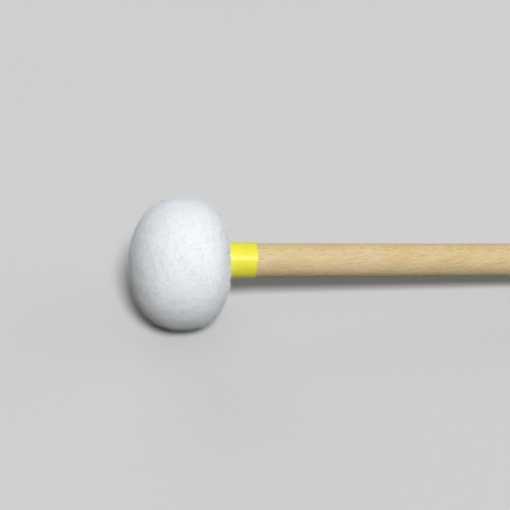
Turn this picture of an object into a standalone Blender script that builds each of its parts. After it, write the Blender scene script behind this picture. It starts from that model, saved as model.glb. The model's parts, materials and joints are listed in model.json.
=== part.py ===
"""A timpani mallet, lying on its side as it does when it is put down.

Every piece is built about one axis, that of the handle, whose zero is the middle of the head: the tip
of the head is at minus x and the butt of the handle at plus x. The empty mallet_axis then tips that
axis down towards the butt, so that the felt and the rim of the butt both touch the ground at z = 0.

From the middle outwards the head is a turned wooden core, a firm felt liner and a soft felt cover. The
core sits on the handle's tenon, and a screw and a washer hold it there from the tip.
"""

import math

import bmesh
import bpy
from mathutils import Matrix, Vector

for old in list(bpy.data.objects):
    bpy.data.objects.remove(old, do_unlink=True)

# Driving dimensions, in metres

overall_length = 0.368
fit_gap = 0.0003

handle_diameter = 0.0127
butt_edge_radius = 0.002
tenon_diameter = 0.008
tenon_edge_radius = 0.0006

head_diameter = 0.0476
head_tip_reach = 0.0188
head_back_reach = 0.0175
tip_fullness = 2.25
back_fullness = 2.5
rest_flat_depth = 0.00035

cover_thickness = 0.005
liner_thickness = 0.0036
liner_edge_thickness = 0.001
tip_pad_thickness = 0.0032
back_pad_thickness = 0.0024

socket_depth = 0.004
core_web_thickness = 0.0025
washer_diameter = 0.012
washer_thickness = 0.001

screw_diameter = 0.0035
screw_root_diameter = 0.0025
screw_pitch = 0.00141
screw_length = 0.016
screw_plain_length = 0.005
screw_point_length = 0.003
screw_head_diameter = 0.0065
screw_head_height = 0.0022
screw_slot_width = 0.0009
screw_slot_depth = 0.0009
screw_head_recess = 0.0002

hem_thickness = 0.001
hem_edge_radius = 0.0004
hem_wall_thickness = 0.0015
lip_edge_radius = 0.0008
thread_diameter = 0.0008
thread_pitch = 0.0009
thread_turns = 2

tape_thickness = 0.00019
tape_layers = 2
tape_gap = 0.00012
tape_width = 0.0127
tape_hem_overlap = 0.0028
tape_end_angle = math.radians(144)

round_segments = 40
small_segments = 20
rows_per_thread_turn = 4
coil_points_per_turn = 24
arc_step = math.radians(23)
weld_distance = 1e-7

# Sizes that follow from them

handle_radius = handle_diameter / 2
tenon_radius = tenon_diameter / 2
head_radius = head_diameter / 2
washer_radius = washer_diameter / 2
screw_radius = screw_diameter / 2
screw_hole_radius = screw_radius + fit_gap
handle_hole_radius = handle_radius + fit_gap

butt_x = overall_length - head_tip_reach
core_radius = head_radius - cover_thickness - liner_thickness - 2 * fit_gap
core_tip_x = -(head_tip_reach - cover_thickness - tip_pad_thickness - 2 * fit_gap)
core_back_x = head_back_reach - cover_thickness - back_pad_thickness - 2 * fit_gap
socket_floor_x = core_back_x - socket_depth
washer_seat_x = core_tip_x + washer_thickness + screw_head_height + screw_head_recess + 2 * fit_gap
tenon_bore_floor_x = washer_seat_x + core_web_thickness
screw_under_head_x = washer_seat_x - washer_thickness - 2 * fit_gap
screw_tip_x = screw_under_head_x + screw_length

tape_inner_radius = handle_radius + tape_gap
tape_outer_radius = tape_inner_radius + tape_layers * tape_thickness
groove_floor_x = head_back_reach - cover_thickness + hem_wall_thickness
hem_end_x = groove_floor_x + thread_turns * thread_pitch + thread_diameter + 2 * fit_gap
tape_start_x = hem_end_x - tape_hem_overlap
tape_finish_x = tape_start_x + tape_width
hem_bore_radius = tape_outer_radius + fit_gap
hem_outer_radius = hem_bore_radius + hem_thickness
groove_radius = hem_outer_radius + thread_diameter + 2 * fit_gap
lip_radius = groove_radius + lip_edge_radius


def finish(name, color, roughness, metallic=0.0):
    """A plain material with the piece's colour, as linear red, green and blue."""
    material = bpy.data.materials.new(name)
    material.use_nodes = True
    surface = material.node_tree.nodes["Principled BSDF"]
    surface.inputs["Base Color"].default_value = (*color, 1.0)
    surface.inputs["Roughness"].default_value = roughness
    surface.inputs["Metallic"].default_value = metallic
    return material


def rounded(corners):
    """The points of a profile. A corner is (x, r) or (x, r, radius), and a radius becomes an arc."""
    points = []
    for index, corner in enumerate(corners):
        here = Vector(corner[:2])
        if len(corner) == 2:
            points.append(here)
            continue
        back = Vector(corners[index - 1][:2]) - here
        ahead = Vector(corners[(index + 1) % len(corners)][:2]) - here
        half = back.angle(ahead) / 2
        tangent = min(corner[2] / math.tan(half), back.length * 0.45, ahead.length * 0.45)
        radius = tangent * math.tan(half)
        towards = (back.normalized() + ahead.normalized()).normalized()
        centre = here + towards * radius / math.sin(half)
        first = here + back.normalized() * tangent - centre
        last = here + ahead.normalized() * tangent - centre
        sweep = math.pi - 2 * half
        steps = max(2, round(sweep / arc_step))
        for step in range(steps + 1):
            share = step / steps
            mix = first * math.sin((1 - share) * sweep) + last * math.sin(share * sweep)
            points.append(centre + mix / math.sin(sweep))
    return points


def head_side(sign):
    """The reach and the fullness of the head on its tip side (-1) or its handle side (+1)."""
    return (head_tip_reach, tip_fullness) if sign < 0 else (head_back_reach, back_fullness)


def head_turn_at_x(x, inset):
    """Where the head's outline has this x: the turn from its widest ring, a quarter turn at a pole."""
    reach, fullness = head_side(x)
    return math.copysign(math.asin((abs(x) / (reach - inset)) ** (fullness / 2)), x)


def head_turn_at_radius(radius, inset, sign):
    """Where the head's outline has this radius, on the tip side (-1) or the handle side (+1)."""
    fullness = head_side(sign)[1]
    return sign * math.acos((radius / (head_radius - inset)) ** (fullness / 2))


def head_outline(inset, start, end, steps):
    """Points (x, r) of the head's outline, drawn in by an inset, between two turns from its widest ring.

    Each side of the head is a superellipse, fuller than an ellipse where its exponent is above 2.
    """
    points = []
    for step in range(steps + 1):
        turn = start + (end - start) * step / steps
        reach, fullness = head_side(turn)
        x = math.copysign((reach - inset) * abs(math.sin(turn)) ** (2 / fullness), turn)
        radius = (head_radius - inset) * max(math.cos(turn), 0) ** (2 / fullness)
        points.append(Vector((x, radius if radius > weld_distance else 0)))
    return points


def spun(profile, closed, segments, start_angle=math.pi / 2, merge=True):
    """The mesh that a profile of (x, r) points makes as it turns once about the handle's axis."""
    mesh = bmesh.new()
    side = Vector((0, math.cos(start_angle), math.sin(start_angle)))
    verts = [mesh.verts.new(Vector((x, 0, 0)) + side * radius) for x, radius in profile]
    ends = list(zip(verts, verts[1:]))
    if closed:
        ends.append((verts[-1], verts[0]))
    edges = [mesh.edges.new(pair) for pair in ends]
    bmesh.ops.spin(
        mesh,
        geom=verts + edges,
        cent=(0, 0, 0),
        axis=(1, 0, 0),
        angle=2 * math.pi,
        steps=segments,
        use_merge=merge,
    )
    return mesh


def close_up(mesh):
    """Welds what meets, fills the open rings with flat ends and turns every face outwards."""
    bmesh.ops.remove_doubles(mesh, verts=mesh.verts, dist=weld_distance)
    rims = [edge for edge in mesh.edges if edge.is_boundary]
    if rims:
        bmesh.ops.holes_fill(mesh, edges=rims, sides=0)
    bmesh.ops.recalc_face_normals(mesh, faces=mesh.faces)


def placed(name, mesh, material):
    """The object made from a mesh, on the mallet's axis."""
    data = bpy.data.meshes.new(name)
    mesh.to_mesh(data)
    mesh.free()
    data.materials.append(material)
    data.shade_smooth()
    data.set_sharp_from_angle(angle=math.radians(35))
    piece = bpy.data.objects.new(name, data)
    bpy.context.scene.collection.objects.link(piece)
    piece.parent = mallet_axis
    return piece


def turned(name, profile, material, closed=False, segments=round_segments):
    """A piece turned from a profile of (x, r) points: closed if it is a ring, else with flat ends."""
    mesh = spun(profile, closed, segments)
    close_up(mesh)
    return placed(name, mesh, material)


def reach_down(profile, tilt):
    """How far a turned piece reaches below the middle of the head when its axis is tipped."""
    return max(x * math.sin(tilt) + radius * math.cos(tilt) for x, radius in profile)


def handle_profile():
    """From the bottom of the pilot hole, out along the tenon and the shoulder, to the butt."""
    pilot_end_x = screw_tip_x + fit_gap
    tenon_end_x = tenon_bore_floor_x + fit_gap
    shoulder_x = socket_floor_x + fit_gap
    return rounded(
        [
            (pilot_end_x + screw_hole_radius / 2, 0),
            (pilot_end_x, screw_hole_radius),
            (tenon_end_x, screw_hole_radius),
            (tenon_end_x, tenon_radius, tenon_edge_radius),
            (shoulder_x, tenon_radius),
            (shoulder_x, handle_radius, tenon_edge_radius),
            (butt_x, handle_radius, butt_edge_radius),
            (butt_x, 0),
        ]
    )


def cover_profile():
    """The soft cover: from its tip, out over the head, into the hem and back along its inside."""
    lip_turn = head_turn_at_radius(lip_radius, 0, 1)
    outside = head_outline(0, -math.pi / 2, 0, 12) + head_outline(0, 0, lip_turn, 10)[1:]
    inside_turn = head_turn_at_radius(handle_hole_radius, cover_thickness, 1)
    inside = head_outline(cover_thickness, inside_turn, -math.pi / 2, 14)
    lip_x = outside[-1].x
    mouth = rounded(
        [
            (lip_x, lip_radius),
            (lip_x - lip_edge_radius / 4, groove_radius, lip_edge_radius),
            (groove_floor_x, groove_radius),
            (groove_floor_x, hem_outer_radius),
            (hem_end_x, hem_outer_radius, hem_edge_radius),
            (hem_end_x, hem_bore_radius, hem_edge_radius),
            (tape_start_x - fit_gap, hem_bore_radius),
            (tape_start_x - fit_gap, handle_hole_radius),
            (inside[0].x, handle_hole_radius),
        ]
    )
    return outside + mouth[1:-1] + inside


def core_profile():
    """A barrel whose shoulders follow the head, bored for the tenon, the shoulder and the screw."""
    edge_inset = cover_thickness + liner_edge_thickness + 2 * fit_gap
    shoulder = head_outline(
        edge_inset, head_turn_at_x(core_tip_x, edge_inset), head_turn_at_x(core_back_x, edge_inset), 14
    )
    barrel = [(x, min(radius, core_radius)) for x, radius in shoulder]
    bore_radius = tenon_radius + fit_gap
    socket_radius = handle_radius + fit_gap
    counterbore_radius = washer_radius + fit_gap
    return barrel + [
        (core_back_x, socket_radius),
        (socket_floor_x, socket_radius),
        (socket_floor_x, bore_radius),
        (tenon_bore_floor_x, bore_radius),
        (tenon_bore_floor_x, screw_hole_radius),
        (washer_seat_x, screw_hole_radius),
        (washer_seat_x, counterbore_radius),
        (core_tip_x, counterbore_radius),
    ]


def liner_profile():
    """A firm felt sleeve: its inside lies on the core, and its outside has the head's shape."""
    outer_inset = cover_thickness + fit_gap
    inner_inset = outer_inset + liner_edge_thickness
    tip_turn = head_turn_at_x(core_tip_x, outer_inset)
    back_turn = head_turn_at_x(core_back_x, outer_inset)
    outside = head_outline(outer_inset, tip_turn, back_turn, 12)
    seat = head_outline(
        inner_inset, head_turn_at_x(core_back_x, inner_inset), head_turn_at_x(core_tip_x, inner_inset), 12
    )
    inside = [(x, min(radius, core_radius + fit_gap)) for x, radius in seat]
    return outside + inside


def tip_pad_profile():
    """A domed felt pad between the core's front face and the tip of the cover."""
    inset = cover_thickness + fit_gap
    face_x = core_tip_x - fit_gap
    return head_outline(inset, -math.pi / 2, head_turn_at_x(face_x, inset), 6)


def back_pad_profile():
    """A felt washer round the handle, between the core's back face and the hem."""
    inset = cover_thickness + fit_gap
    face_x = core_back_x + fit_gap
    start = head_turn_at_x(face_x, inset)
    end = head_turn_at_radius(handle_hole_radius, inset, 1)
    return head_outline(inset, start, end, 4) + [(face_x, handle_hole_radius)]


def washer_profile():
    """A flat ring on the counterbore's floor."""
    back_x = washer_seat_x - fit_gap
    front_x = back_x - washer_thickness
    return [
        (front_x, screw_hole_radius),
        (front_x, washer_radius),
        (back_x, washer_radius),
        (back_x, screw_hole_radius),
    ]


def screw_profile():
    """A round head, a plain shank and a threaded length down to the point, before the thread is cut."""
    head_radius_here = screw_head_diameter / 2
    top_x = screw_under_head_x - screw_head_height
    rim_x = screw_under_head_x - screw_head_height / 3
    dome = []
    for step in range(5):
        turn = math.pi / 2 * step / 4
        dome.append((rim_x - (rim_x - top_x) * math.cos(turn), head_radius_here * math.sin(turn)))
    thread_x = screw_under_head_x + screw_plain_length
    rows = round((screw_length - screw_plain_length) / screw_pitch * rows_per_thread_turn)
    thread = []
    for row in range(rows + 1):
        x = thread_x + (screw_tip_x - thread_x) * row / rows
        taper = min(1, (screw_tip_x - x) / screw_point_length)
        thread.append((x, screw_radius * taper if row < rows else 0))
    neck = [(screw_under_head_x, head_radius_here), (screw_under_head_x, screw_radius)]
    return dome + neck + thread


def cut_thread(mesh):
    """Sinks the shank between the ridges of a helix, and fades the thread in over its first turn."""
    thread_x = screw_under_head_x + screw_plain_length
    depth = 1 - screw_root_diameter / screw_diameter
    for vert in mesh.verts:
        past = (vert.co.x - thread_x) / screw_pitch
        if past <= 0:
            continue
        phase = (past - math.atan2(vert.co.z, vert.co.y) / (2 * math.pi)) % 1
        ridge = max(0, 1 - abs(phase - 0.5) * 4)
        sunk = 1 - depth * (1 - ridge) * min(1, past)
        vert.co.y *= sunk
        vert.co.z *= sunk


def build_screw(material):
    mesh = spun(screw_profile(), False, small_segments)
    close_up(mesh)
    cut_thread(mesh)
    screw = placed("retaining_screw", mesh, material)
    cutter = bmesh.new()
    bmesh.ops.create_cube(cutter, size=1)
    size = Vector((2 * screw_slot_depth, screw_slot_width, 1.2 * screw_head_diameter))
    top_x = screw_under_head_x - screw_head_height
    bmesh.ops.transform(
        cutter, matrix=Matrix.Translation((top_x, 0, 0)) @ Matrix.Diagonal((*size, 1)), verts=cutter.verts
    )
    slot = placed("screw_slot_cutter", cutter, material)
    slot.hide_render = True
    slot.display_type = "WIRE"
    cut = screw.modifiers.new("driver_slot", "BOOLEAN")
    cut.operation = "DIFFERENCE"
    cut.solver = "EXACT"
    cut.object = slot


def build_cover(material, profile, tilt, rest_height):
    """The turned cover, pressed flat where it lies on the ground."""
    mesh = spun(profile, False, round_segments)
    bmesh.ops.remove_doubles(mesh, verts=mesh.verts, dist=weld_distance)
    down = Vector((math.sin(tilt), 0, -math.cos(tilt)))
    bmesh.ops.bisect_plane(
        mesh,
        geom=mesh.verts[:] + mesh.edges[:] + mesh.faces[:],
        dist=weld_distance,
        plane_co=down * rest_height,
        plane_no=down,
        clear_outer=True,
    )
    close_up(mesh)
    return placed("cover", mesh, material)


def build_thread(material):
    """The winding that pulls the hem in: a coil in the groove round the hem."""
    coil_radius = hem_outer_radius + fit_gap + thread_diameter / 2
    first_x = groove_floor_x + fit_gap + thread_diameter / 2
    count = round(thread_turns * coil_points_per_turn)
    curve = bpy.data.curves.new("gather_thread", "CURVE")
    curve.dimensions = "3D"
    curve.bevel_depth = thread_diameter / 2
    curve.bevel_resolution = 2
    curve.use_fill_caps = True
    line = curve.splines.new("POLY")
    line.points.add(count)
    for index, point in enumerate(line.points):
        turns = thread_turns * index / count
        angle = 2 * math.pi * turns
        x = first_x + thread_pitch * turns
        point.co = (x, coil_radius * math.cos(angle), coil_radius * math.sin(angle), 1)
    curve.materials.append(material)
    thread = bpy.data.objects.new("gather_thread", curve)
    bpy.context.scene.collection.objects.link(thread)
    thread.parent = mallet_axis
    return thread


def build_band(material):
    """The wound tape. Its outside rises by one layer in a turn and drops again at the tape's end."""
    start_radius = tape_outer_radius - tape_thickness
    profile = [
        (tape_start_x, tape_inner_radius),
        (tape_start_x, start_radius),
        (tape_start_x, tape_outer_radius),
        (tape_finish_x, tape_outer_radius),
        (tape_finish_x, start_radius),
        (tape_finish_x, tape_inner_radius),
    ]
    mesh = spun(profile, True, round_segments, tape_end_angle, merge=False)
    mesh.verts.ensure_lookup_table()
    first_section = set(mesh.verts[: len(profile)])
    for vert in mesh.verts:
        radius = math.hypot(vert.co.y, vert.co.z)
        if radius < start_radius + tape_thickness / 2:
            continue
        turn = (math.atan2(vert.co.z, vert.co.y) - tape_end_angle) / (2 * math.pi) % 1
        if vert in first_section:
            turn = 0
        elif turn < 0.5 / round_segments:
            turn = 1
        scale = (start_radius + tape_thickness * turn) / radius
        vert.co.y *= scale
        vert.co.z *= scale
    close_up(mesh)
    return placed("band", mesh, material)


maple = finish("lacquered maple", (0.68, 0.52, 0.30), 0.35)
birch = finish("turned birch", (0.62, 0.45, 0.26), 0.6)
steel = finish("zinc plated steel", (0.62, 0.62, 0.62), 0.35, 1.0)
firm_felt = finish("firm grey felt", (0.45, 0.45, 0.43), 0.95)
soft_felt = finish("soft white felt", (0.86, 0.86, 0.87), 0.95)
waxed_thread = finish("waxed thread", (0.78, 0.76, 0.70), 0.55)
yellow_tape = finish("yellow tape", (0.83, 0.78, 0.06), 0.3)

mallet_axis = bpy.data.objects.new("mallet_axis", None)
mallet_axis.empty_display_size = head_diameter
bpy.context.scene.collection.objects.link(mallet_axis)

handle_points = handle_profile()
cover_points = cover_profile()

# The axis tips until the butt reaches down exactly as far as the head does on its pressed flat.
low_tilt = 0.0
high_tilt = math.radians(20)
for _ in range(60):
    rest_tilt = (low_tilt + high_tilt) / 2
    butt_reach = reach_down(handle_points, rest_tilt)
    if butt_reach < reach_down(cover_points, rest_tilt) - rest_flat_depth:
        low_tilt = rest_tilt
    else:
        high_tilt = rest_tilt
rest_height = reach_down(handle_points, rest_tilt)

# The origin is under the middle of the mallet, halfway between the head's and the butt's far ends.
head_end = min(x * math.cos(rest_tilt) - radius * math.sin(rest_tilt) for x, radius in cover_points)
butt_end = max(x * math.cos(rest_tilt) + radius * math.sin(rest_tilt) for x, radius in handle_points)
mallet_axis.location = (-(head_end + butt_end) / 2, 0, rest_height)
mallet_axis.rotation_euler = (0, rest_tilt, 0)

turned("handle", handle_points, maple)
turned("core", core_profile(), birch, closed=True)
turned("retaining_washer", washer_profile(), steel, closed=True)
build_screw(steel)
turned("tip_pad", tip_pad_profile(), firm_felt)
turned("liner", liner_profile(), firm_felt, closed=True)
turned("back_pad", back_pad_profile(), firm_felt, closed=True)
build_cover(soft_felt, cover_points, rest_tilt, rest_height)
build_thread(waxed_thread)
build_band(yellow_tape)

print(f"rest tilt {math.degrees(rest_tilt):.3f} degrees, head centre {rest_height * 1000:.3f} mm up")
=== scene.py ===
# %% [markdown]
# # A soft timpani mallet, dressed from its frame
#
# A timpani mallet is a turned wooden stick with a ball of felt on its end. This one lies on a table:
# a white felt head at the left, a band of yellow tape behind it, and a long, pale, lacquered handle.
# The solid parts come packed as a frame, in metres, with +Z up. This lesson keeps what is inside the
# head, gives it real finishes, and builds the surfaces that show with far more detail than a solid has.

# %% Load the frame
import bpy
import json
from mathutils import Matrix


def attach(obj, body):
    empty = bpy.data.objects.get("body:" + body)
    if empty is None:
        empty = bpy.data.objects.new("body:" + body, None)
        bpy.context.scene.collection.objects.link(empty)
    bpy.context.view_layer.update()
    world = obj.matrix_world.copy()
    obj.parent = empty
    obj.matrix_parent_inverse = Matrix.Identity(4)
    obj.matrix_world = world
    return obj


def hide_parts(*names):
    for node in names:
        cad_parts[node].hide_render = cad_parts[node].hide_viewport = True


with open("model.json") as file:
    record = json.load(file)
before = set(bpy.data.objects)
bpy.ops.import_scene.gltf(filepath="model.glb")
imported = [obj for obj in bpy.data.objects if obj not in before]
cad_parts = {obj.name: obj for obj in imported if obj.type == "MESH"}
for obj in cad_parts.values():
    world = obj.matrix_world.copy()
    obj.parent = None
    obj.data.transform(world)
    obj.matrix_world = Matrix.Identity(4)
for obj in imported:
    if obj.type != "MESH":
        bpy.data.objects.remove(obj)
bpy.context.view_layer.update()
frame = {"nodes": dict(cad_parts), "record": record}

print("frame:", ", ".join(sorted(frame["nodes"])))

# %% [markdown]
# Besides Blender itself, the lesson uses bmesh to model, numpy to move many vertices at once, and
# Blender's own noise, which is the same on every run. Sizes are written in millimetres, as on a
# maker's drawing, and multiplied by `mm`.

# %% Tools and units
import json
import math
import random

import bmesh
import bpy
import numpy as np
from mathutils import Matrix, Vector, noise

mm = 0.001


def show(name, data):
    """A new object with this data, linked to the scene."""
    made = bpy.data.objects.new(name, data)
    bpy.context.scene.collection.objects.link(made)
    return made


# %% [markdown]
# ## Where the mallet lies
#
# The mallet rests on the underside of its head and on the rim of its butt, so its axis tips down a
# little towards the butt. The frame's record says where the butt's face is and which way it looks.
# From those two facts comes one matrix, `lie_down`. Every new piece is modelled upright in the
# mallet's own terms, with its axis along X and the middle of the head at zero, and then laid down by
# that matrix, so that the objects themselves stay unturned at the origin.

# %% The mallet's own axis
butt_reach = 349.2 * mm
butt_face = next(m for m in frame["record"]["mounts"] if m["name"] == "butt_end")
butt_centre = Vector(butt_face["pos_m"])
handle_line = Vector(butt_face["axis"]).normalized()
head_centre = butt_centre - handle_line * butt_reach
rest_tilt = math.atan2(-handle_line.z, handle_line.x)
lie_down = Matrix.Translation(head_centre) @ Matrix.Rotation(rest_tilt, 4, "Y")
print("head centre", [round(c / mm, 2) for c in head_centre], "tilt", round(math.degrees(rest_tilt), 2))

# %% [markdown]
# ## The camera
#
# The picture looks down at the head from the front, 40 degrees above the table, and swings a little
# towards the tip. These numbers were fitted to the handle's two edges and the head's outline. The
# camera comes before everything else, because every later choice is judged through it.

# %% Camera
view_angle = math.radians(34)
view_lift = math.radians(40)
view_swing = math.radians(8.688)
view_roll = math.radians(3.371)
view_distance = 309.49 * mm
view_drop = 2.026 * mm
aim_along_handle = 27 * mm


def direction(azimuth, lift):
    """The way to a point this far round from the front and this high up, both in radians."""
    return Vector((math.sin(azimuth) * math.cos(lift), -math.cos(azimuth) * math.cos(lift), math.sin(lift)))


toward_camera = direction(-view_swing, view_lift)
level_right = Vector((0, 0, 1)).cross(toward_camera).normalized()
level_up = toward_camera.cross(level_right)
camera_right = math.cos(view_roll) * level_right + math.sin(view_roll) * level_up
camera_up = -math.sin(view_roll) * level_right + math.cos(view_roll) * level_up

camera_data = bpy.data.cameras.new("picture_camera")
camera_data.angle = view_angle
camera_data.clip_start = 5 * mm
camera = show("picture_camera", camera_data)
aim = head_centre + handle_line * aim_along_handle
camera_place = aim + toward_camera * view_distance + camera_up * view_drop
camera.matrix_world = Matrix.Translation(camera_place) @ Matrix(
    (camera_right, camera_up, toward_camera)
).transposed().to_4x4()
bpy.context.scene.camera = camera
print("camera at", [round(c / mm, 1) for c in camera_place])

# %% [markdown]
# ## Small helpers for finishes
#
# Every finish starts from Blender's Principled shader. The patterns are made from procedural nodes,
# so nothing is loaded from a picture. `add` puts one node into a finish and plugs its sockets in the
# same call: a socket gets either a plain value or the output of an earlier node. `dress` does the same
# for the shader itself, where plain numbers hold for the whole surface.

# %% Finish helpers
def new_finish(name):
    """A new material with its Principled shader."""
    made = bpy.data.materials.new(name)
    made.use_nodes = True
    return made


def feed(made, node, feeds):
    """Sets each named socket to a value, or links it to another node's output."""
    for socket, value in feeds.items():
        if isinstance(value, bpy.types.NodeSocket):
            made.node_tree.links.new(value, node.inputs[socket])
        else:
            node.inputs[socket].default_value = value


def add(made, kind, feeds, **settings):
    """Adds one shader node, sets it up, and returns it."""
    node = made.node_tree.nodes.new("ShaderNode" + kind)
    for name, value in settings.items():
        setattr(node, name, value)
    feed(made, node, feeds)
    return node


def sums(made, operation, first, second=0.0, third=0.0):
    """One step of arithmetic between two values."""
    return add(made, "Math", {0: first, 1: second, 2: third}, operation=operation).outputs[0]


def spread(made, value, low, high, to_low=0.0, to_high=1.0):
    """Stretches a value's useful range to a new one, and holds it there."""
    feeds = {"Value": value, "From Min": low, "From Max": high, "To Min": to_low, "To Max": to_high}
    return add(made, "MapRange", feeds, clamp=True).outputs[0]


def tint(made, share, first, second):
    """Mixes two colours by a share from 0 to 1."""
    node = add(made, "Mix", {0: share}, data_type="RGBA")
    feed(made, node, {6: first, 7: second})
    return node.outputs[2]


def mallet_finish(name):
    """A new material and the mallet's own coordinates in it, in metres along the handle from the head."""
    made = new_finish(name)
    room = add(made, "TexCoord", {}).outputs["Object"]
    feeds = {"Vector": room, "Location": head_centre, "Rotation": (0, rest_tilt, 0)}
    return made, add(made, "Mapping", feeds, vector_type="TEXTURE").outputs[0]


def drawn_out(made, place, size, turn=(0, 0, 0), start=(0, 0, 0)):
    """Coordinates for a pattern of this size, in metres, along axes that are turned and start elsewhere."""
    feeds = {"Vector": place, "Location": start, "Rotation": turn, "Scale": size}
    return add(made, "Mapping", feeds, vector_type="TEXTURE").outputs[0]


def cloudy(made, place, size=1.0, detail=2.0):
    """Soft noise between 0 and 1, with clouds of this size."""
    return add(made, "TexNoise", {"Vector": place, "Scale": 1 / size, "Detail": detail}).outputs[0]


def streaky(made, place, along, across, turn=(0, 0, 0), start=(0, 0, 0), detail=2.0):
    """Soft noise that is drawn out: this long along the handle and this wide across it, then turned."""
    return cloudy(made, drawn_out(made, place, (along, across, across), turn, start), detail=detail)


def relief(made, height, depth, strength=1.0, under=None):
    """A bump of this depth in metres, over another bump if there is one."""
    feeds = {"Height": height, "Distance": depth, "Strength": strength}
    if under is not None:
        feeds["Normal"] = under
    return add(made, "Bump", feeds).outputs[0]


def dress(made, **sockets):
    """Sets or links the shader's own sockets. An underscore in a name stands for a space."""
    feeds = {name.replace("_", " "): value for name, value in sockets.items()}
    feed(made, made.node_tree.nodes["Principled BSDF"], feeds)


# %% [markdown]
# ## The table and the light
#
# The object is judged on a plain pale table under soft studio light, so the table is one wide disc in
# a light grey with a very faint mottle. White felt close to a white table would be lit from below as
# well, and its round underside would look flat. So the camera sees the table pale, but it throws
# little light on the mallet: Light Path tells the two kinds of ray apart. Nothing else is in view,
# and the world shows the same pale tone.

# %% Table and world
def shown_rays(made):
    """1 for rays that show what is behind the mallet, also in gloss or through glass, and 0 for the rest."""
    kinds = add(made, "LightPath", {}).outputs
    shown = sums(made, "MAXIMUM", kinds["Is Camera Ray"], kinds["Is Glossy Ray"])
    return sums(made, "MAXIMUM", shown, kinds["Is Transmission Ray"])


table_seen = (0.62, 0.62, 0.615, 1)
table_seen_faint = (0.605, 0.605, 0.60, 1)
table_as_light = (0.10, 0.10, 0.098, 1)
table_radius = 6.0
table_sides = 96
mottle_size = 1 / 9

table_mesh = bmesh.new()
bmesh.ops.create_circle(table_mesh, cap_ends=True, segments=table_sides, radius=table_radius)
table_data = bpy.data.meshes.new("table")
table_mesh.to_mesh(table_data)
table_mesh.free()
table = show("table", table_data)
table_finish = new_finish("pale table")
table_place = add(table_finish, "TexCoord", {}).outputs["Object"]
table_mottle = cloudy(table_finish, table_place, mottle_size)
table_pale = tint(table_finish, table_mottle, table_seen, table_seen_faint)
table_colour = tint(table_finish, shown_rays(table_finish), table_as_light, table_pale)
dress(table_finish, Base_Color=table_colour, Roughness=0.9, Specular_IOR_Level=0.0)
table_data.materials.append(table_finish)

fill_colour = (1.0, 0.985, 0.91, 1)
fill_strength = 0.135
backdrop_colour = (0.625, 0.63, 0.63, 1)

surround = bpy.data.worlds.new("studio")
surround.use_nodes = True
bpy.context.scene.world = surround
fill_light = surround.node_tree.nodes["Background"]
feed(surround, fill_light, {"Color": fill_colour, "Strength": fill_strength})
backdrop = add(surround, "Background", {"Color": backdrop_colour})
mixed = {0: shown_rays(surround), 1: fill_light.outputs[0], 2: backdrop.outputs[0]}
either = add(surround, "MixShader", mixed)
feed(surround, surround.node_tree.nodes["World Output"], {"Surface": either.outputs[0]})
bpy.context.scene.view_settings.view_transform = "Standard"
print("table", table_radius, "m across half")

# %% [markdown]
# Three lamps do the rest. The main one stands for a large soft box above the camera, which lights the
# head from the front, as in the picture, and throws the handle's shadow just below it. Two much
# wider, weak ones, behind and at the butt's side, open the shadows there. All are Blender's sun
# lamps, with a wide angle for soft shadows: a sun's light doesn't fall off, so the table is evenly
# lit up to where it ends, and every view has the same plain ground. A level says how brightly a lamp
# lights a white card that faces it.

# %% Lamps
def soft_light(name, azimuth, lift, width, level, colour=(1.0, 1.0, 1.0)):
    """A soft lamp far away. Angles are in degrees, azimuth from the front, and width is how wide it looks."""
    away = direction(math.radians(azimuth), math.radians(lift))
    data = bpy.data.lights.new(name, "SUN")
    data.angle = math.radians(width)
    data.energy = level * math.pi
    data.color = colour
    lamp = show(name, data)
    lamp.location = aim + away
    lamp.rotation_euler = away.to_track_quat("Z", "Y").to_euler()
    print(name, "strength", round(data.energy, 2))


soft_light("front_soft_light", azimuth=12, lift=54, width=15, level=0.97, colour=(0.965, 0.985, 1.0))
soft_light("back_soft_light", azimuth=195, lift=20, width=50, level=0.22)
soft_light("side_soft_light", azimuth=100, lift=22, width=50, level=0.12)

# %% [markdown]
# ## The head's outline
#
# The head is a ball of felt, wider than it is long, and fuller than an ellipse: a superellipse. The
# side towards the tip reaches further and is rounder than the back. `head_outline` gives points of it
# as (distance along the axis, radius). An inset draws the outline in, for the felt's inner side.

# %% Head outline
head_radius = 23.8 * mm
tip_reach = 18.8 * mm
back_reach = 17.5 * mm
tip_fullness = 2.25
back_fullness = 2.5
cover_thickness = 5.0 * mm


def head_outline(inset, start, end, steps):
    """Points (x, r) of the head's outline between two turns: 0 is its widest ring, -90 degrees its tip."""
    points = []
    for step in range(steps + 1):
        turn = start + (end - start) * step / steps
        reach, fullness = (tip_reach, tip_fullness) if turn < 0 else (back_reach, back_fullness)
        x = math.copysign((reach - inset) * abs(math.sin(turn)) ** (2 / fullness), turn)
        radius = (head_radius - inset) * max(math.cos(turn), 0) ** (2 / fullness)
        points.append((x, radius if radius > 1e-3 * mm else 0.0))
    return points


def turn_at_radius(radius, inset):
    """Where the back of the outline comes in to this radius."""
    return math.acos((radius / (head_radius - inset)) ** (back_fullness / 2))


# %% [markdown]
# ## Modelling by turning
#
# Most pieces of a mallet are turned on a lathe or wound, so most meshes here come from one outline
# that bmesh spins about the handle's axis. bmesh's spin lists the new edges and faces in another order
# on every run, so `spin_round` sorts them, and random choices among the faces stay the same. `turned`
# welds what meets and turns the faces outwards. `to_object` makes the mesh an object, and `keep` ties
# it to the frame's root body, hides the solids it takes the place of, and gives it its finish.

# %% Turning helpers
weld_distance = 1e-3 * mm
sharp_from = math.radians(35)


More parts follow.
